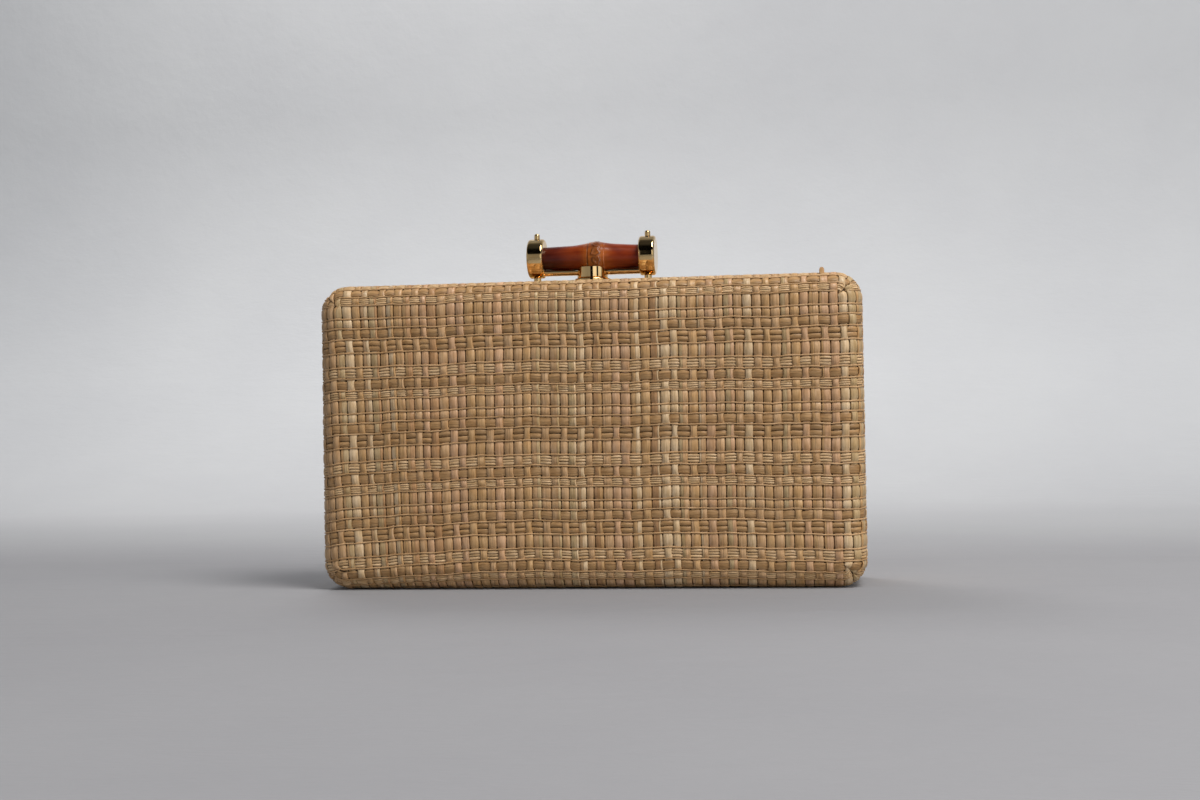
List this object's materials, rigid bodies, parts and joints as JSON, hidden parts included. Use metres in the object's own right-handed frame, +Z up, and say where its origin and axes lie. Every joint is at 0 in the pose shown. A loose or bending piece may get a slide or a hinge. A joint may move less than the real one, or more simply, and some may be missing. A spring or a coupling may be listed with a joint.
{
  "type": "woven straw box clutch",
  "caption": "Hard box clutch covered in woven straw, hinged at the bottom, with a turning bamboo bar clasp on top.",
  "frame": {"origin": "bottom centre of the body, on the surface it stands on", "axes": "+X along the bag, to the right seen from the front; +Y towards the back; +Z up"},
  "size_m": [0.19, 0.05, 0.1255],
  "materials": {
    "straw": "woven straw, dry and matte",
    "shell_board": "moulded, matte",
    "lining_cloth": "short soft nap",
    "gold_frame": "polished",
    "gold_hinge": "satin",
    "steel": "brushed",
    "gold_clasp": "highly polished",
    "bamboo": "stained and lacquered"
  },
  "bodies": {
    "back_half": {"back_cover": "straw", "back_shell": "shell_board", "back_lining": "lining_cloth", "back_frame": "gold_frame", "back_hinge_leaf_left": "gold_hinge", "back_hinge_leaf_right": "gold_hinge", "back_hinge_rivets": "gold_hinge", "hinge_pin_left": "steel", "hinge_pin_right": "steel", "clasp_backing_plate": "steel", "clasp_plate": "gold_clasp", "clasp_screws": "gold_clasp"},
    "front_half": {"front_cover": "straw", "front_shell": "shell_board", "front_lining": "lining_cloth", "front_frame": "gold_frame", "front_hinge_leaf_left": "gold_hinge", "front_hinge_leaf_right": "gold_hinge", "front_hinge_rivets": "gold_hinge", "catch_spring": "steel", "catch_rivets": "steel"},
    "clasp": {"turn_post": "gold_clasp", "yoke": "gold_clasp", "bamboo_bar": "bamboo", "left_collar": "gold_clasp", "right_collar": "gold_clasp", "collar_pins": "gold_clasp", "latch_tongue": "steel", "tongue_nut": "steel"}
  },
  "joints": [
    {"name": "front_hinge", "type": "hinge", "parent": "back_half", "child": "front_half", "pos_m": [0, 0, 0.0022], "axis": [1, 0, 0], "range_deg": [0, 75], "deforming": ["catch_spring"]},
    {"name": "clasp_turn", "type": "hinge", "parent": "back_half", "child": "clasp", "pos_m": [0, 0, 0.1087], "axis": [0, 0, 1], "range_deg": [0, 90]}
  ]
}
